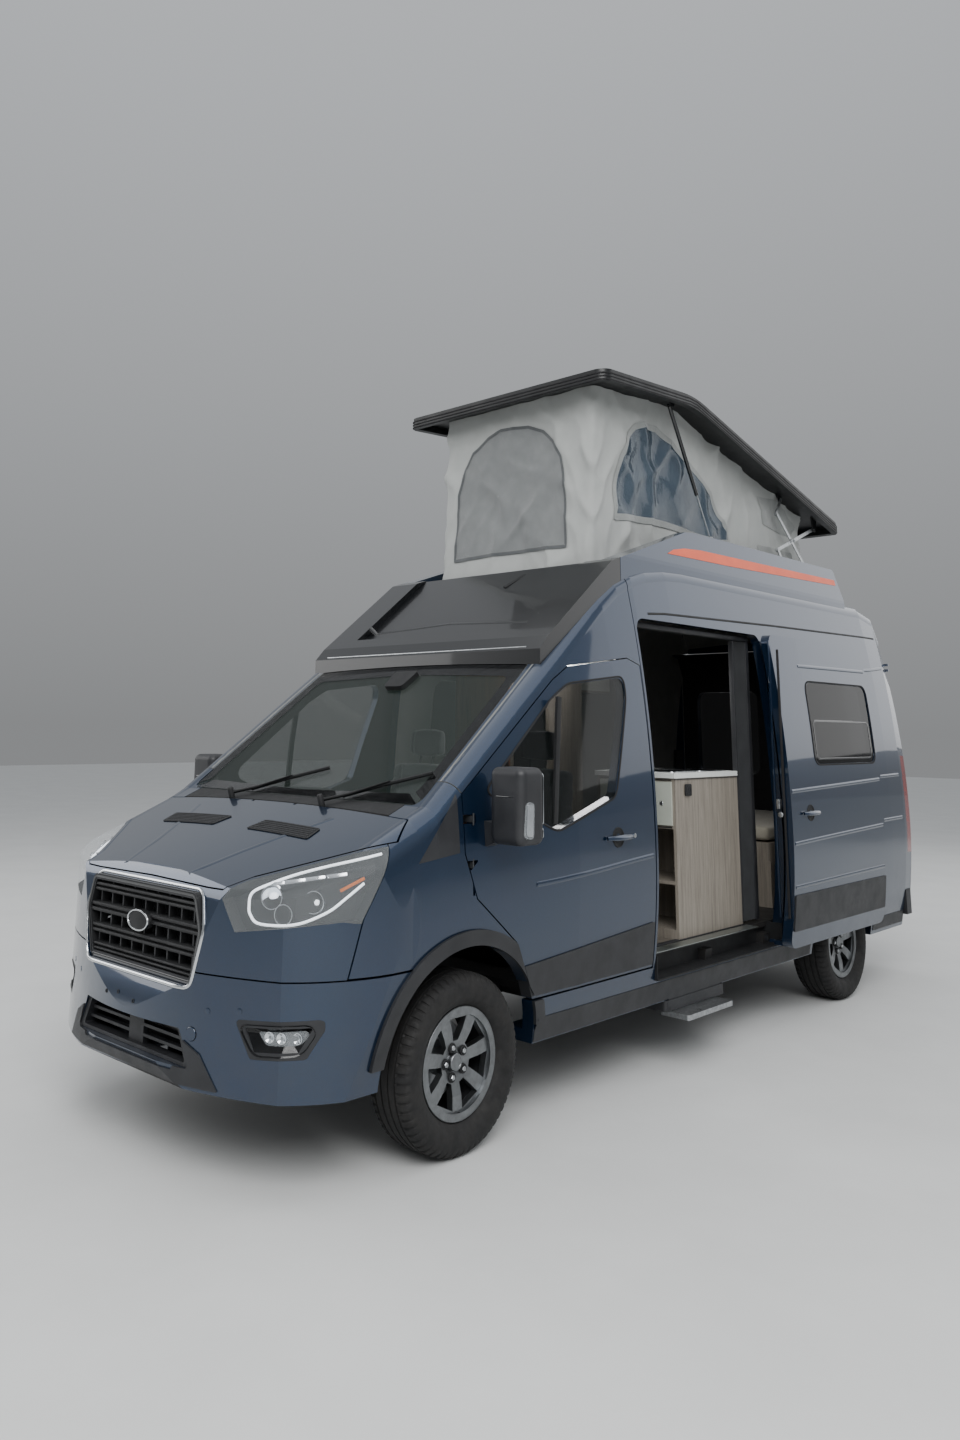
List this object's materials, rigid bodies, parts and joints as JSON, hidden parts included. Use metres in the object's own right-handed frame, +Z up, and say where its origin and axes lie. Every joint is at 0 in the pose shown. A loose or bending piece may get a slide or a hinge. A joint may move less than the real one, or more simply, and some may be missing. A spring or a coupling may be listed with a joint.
{
  "type": "camper van",
  "caption": "High-roof panel-van camper with open sliding side door, kitchen, bed and a rear-hinged pop-up roof raised on scissor arms over a canvas tent.",
  "frame": {"origin": "on the ground under the middle of the van's overall box", "axes": "+X to the van's left, +Y to its rear, +Z up"},
  "size_m": [2.474, 5.981, 3.8425],
  "materials": {
    "body_paint": "dark metallic steel-blue paint",
    "roof_paint": "dark grey gloss paint",
    "black_trim": "grained black plastic",
    "grille_trim": "black bars in a bright surround",
    "lid_shell": "satin dark grey moulded shell",
    "window_glass": "tinted",
    "lamp_clear": "clear lens",
    "lamp_red": "red lens",
    "tyre_rubber": "matt",
    "wheel_alloy": "dark grey satin",
    "chassis_steel": "black coated steel",
    "inner_metal": "dark primer",
    "galvanised": "zinc plated",
    "strut_steel": "black cylinder",
    "canvas": "light grey woven canvas",
    "screen_cloth": "dark pleated mesh",
    "seat_cloth": "dark grey cloth",
    "mattress_cloth": "light cloth",
    "cabinet_wood": "light wood decor",
    "dash_plastic": "soft black",
    "engine_metal": "plain block"
  },
  "bodies": {
    "body": {"cab_frame": "body_paint", "fixed_glass": "window_glass", "inner_panels": "inner_metal", "wings": "body_paint", "body_trims": "black_trim", "nose_panel": "body_paint", "headlamps": "lamp_clear", "front_bumper": "body_paint", "grille": "grille_trim", "bumper_inserts": "black_trim", "side_left": "body_paint", "side_right": "body_paint", "sliding_door": "body_paint", "tail_lamps": "lamp_red", "rear_bumper": "black_trim", "roof_shell": "body_paint", "roof_cap": "roof_paint", "roof_fairings": "roof_paint", "roof_brackets": "galvanised", "tent": "canvas", "chassis": "chassis_steel", "front_suspension": "chassis_steel", "engine_block": "engine_metal", "rear_axle": "chassis_steel", "tank_and_exhaust": "chassis_steel", "dashboard": "dash_plastic", "cab_seats": "seat_cloth", "kitchen_unit": "cabinet_wood", "rear_furniture": "cabinet_wood", "mattress": "mattress_cloth", "flyscreen": "screen_cloth"},
    "bonnet": {"bonnet": "body_paint"},
    "door_front_left": {"front_door_left": "body_paint", "door_glass_left": "window_glass", "mirror_left": "black_trim"},
    "door_front_right": {"front_door_right": "body_paint", "door_glass_right": "window_glass", "mirror_right": "black_trim"},
    "door_rear_left": {"rear_door_left": "body_paint", "rear_glass_left": "window_glass"},
    "door_rear_right": {"rear_door_right": "body_paint", "rear_glass_right": "window_glass"},
    "steer_left": {"knuckle_left": "chassis_steel"},
    "steer_right": {"knuckle_right": "chassis_steel"},
    "wheel_front_left": {"tyre_front_left": "tyre_rubber", "rim_front_left": "wheel_alloy"},
    "wheel_front_right": {"tyre_front_right": "tyre_rubber", "rim_front_right": "wheel_alloy"},
    "wheel_rear_left": {"tyre_rear_left": "tyre_rubber", "rim_rear_left": "wheel_alloy"},
    "wheel_rear_right": {"tyre_rear_right": "tyre_rubber", "rim_rear_right": "wheel_alloy"},
    "steering": {"steering_wheel": "dash_plastic"},
    "roof_lid": {"lid": "lid_shell"},
    "arm_lower": {"lift_arm_lower": "galvanised"},
    "arm_upper": {"lift_arm_upper": "galvanised"},
    "link_top": {"lift_link_top": "galvanised"},
    "link_low": {"lift_link_low": "galvanised"},
    "cylinder": {"strut_cylinder": "strut_steel"},
    "rod": {"strut_rod": "galvanised"}
  },
  "joints": [
    {"name": "bonnet_hinge", "type": "hinge", "parent": "body", "child": "bonnet", "pos_m": [0, -2.2605, 1.357], "axis": [-1, 0, 0], "range_deg": [0, 45]},
    {"name": "door_front_left_hinge", "type": "hinge", "parent": "body", "child": "door_front_left", "pos_m": [1, -1.9475, 1], "axis": [0, 0, -1], "range_deg": [0, 70]},
    {"name": "door_front_right_hinge", "type": "hinge", "parent": "body", "child": "door_front_right", "pos_m": [-1, -1.9475, 1], "axis": [0, 0, 1], "range_deg": [0, 70]},
    {"name": "door_rear_left_hinge", "type": "hinge", "parent": "body", "child": "door_rear_left", "pos_m": [0.87, 2.9675, 1.2], "axis": [0, 0, -1], "range_deg": [0, 180]},
    {"name": "door_rear_right_hinge", "type": "hinge", "parent": "body", "child": "door_rear_right", "pos_m": [-0.87, 2.9675, 1.2], "axis": [0, 0, 1], "range_deg": [0, 180]},
    {"name": "steer_left_pivot", "type": "hinge", "parent": "body", "child": "steer_left", "pos_m": [0.69, -1.9675, 0.356], "axis": [0, 0, 1], "range_deg": [-30, 30]},
    {"name": "steer_right_pivot", "type": "hinge", "parent": "body", "child": "steer_right", "pos_m": [-0.69, -1.9675, 0.356], "axis": [0, 0, 1], "range_deg": [-30.5, 30.5]},
    {"name": "steering_wheel_turn", "type": "hinge", "parent": "body", "child": "steering", "pos_m": [-0.43, -1.4975, 1.205], "axis": [0, 0.9135, 0.4067], "range_deg": [-455, 455]},
    {"name": "wheel_front_left_spin", "type": "hinge", "parent": "steer_left", "child": "wheel_front_left", "pos_m": [0.866, -1.9675, 0.356], "axis": [1, 0, 0], "continuous": true},
    {"name": "wheel_front_right_spin", "type": "hinge", "parent": "steer_right", "child": "wheel_front_right", "pos_m": [-0.866, -1.9675, 0.356], "axis": [1, 0, 0], "continuous": true},
    {"name": "wheel_rear_left_spin", "type": "hinge", "parent": "body", "child": "wheel_rear_left", "pos_m": [0.8715, 1.7825, 0.356], "axis": [1, 0, 0], "continuous": true},
    {"name": "wheel_rear_right_spin", "type": "hinge", "parent": "body", "child": "wheel_rear_right", "pos_m": [-0.8715, 1.7825, 0.356], "axis": [1, 0, 0], "continuous": true},
    {"name": "lid_lower", "type": "hinge", "parent": "body", "child": "roof_lid", "pos_m": [0, 3.6235, 2.659], "axis": [-1, 0, 0], "range_deg": [-14.2, 0], "deforming": ["tent"]},
    {"name": "arm_lower_pivot", "type": "hinge", "parent": "body", "child": "arm_lower", "pos_m": [0, 2.3975, 2.76], "axis": [-1, 0, 0], "range_deg": [-32.5, 0.5]},
    {"name": "arm_cross_pivot", "type": "hinge", "parent": "arm_lower", "child": "arm_upper", "pos_m": [0, 1.9355, 3.123], "axis": [-1, 0, 0], "range_deg": [-0.5, 40]},
    {"name": "link_top_pivot", "type": "hinge", "parent": "arm_lower", "child": "link_top", "pos_m": [0, 1.7455, 3.3], "axis": [-1, 0, 0], "range_deg": [-0.5, 55]},
    {"name": "link_low_pivot", "type": "hinge", "parent": "arm_upper", "child": "link_low", "pos_m": [0, 1.6855, 3.024], "axis": [-1, 0, 0], "range_deg": [-67, 0.5]},
    {"name": "cylinder_pivot", "type": "hinge", "parent": "roof_lid", "child": "cylinder", "pos_m": [0, 0.2415, 3.775], "axis": [-1, 0, 0], "range_deg": [-37, 0.5]},
    {"name": "rod_slide", "type": "slide", "parent": "cylinder", "child": "rod", "axis": [0, 0.4926, -0.8703], "range_m": [-0.41, 0.005]}
  ],
  "couplings": [
    {"joint": "steer_right_pivot", "follows": "steer_left_pivot", "ratio": 1},
    {"joint": "steering_wheel_turn", "follows": "steer_left_pivot", "ratio": 15},
    {"joint": "arm_lower_pivot", "follows": "lid_lower", "ratio": 2.2324},
    {"joint": "arm_cross_pivot", "follows": "lid_lower", "ratio": -2.743},
    {"joint": "link_top_pivot", "follows": "lid_lower", "ratio": -3.789},
    {"joint": "link_low_pivot", "follows": "lid_lower", "ratio": 4.673},
    {"joint": "cylinder_pivot", "follows": "lid_lower", "ratio": 2.521},
    {"joint": "rod_slide", "follows": "lid_lower", "m_per_rad": 1.6144}
  ]
}
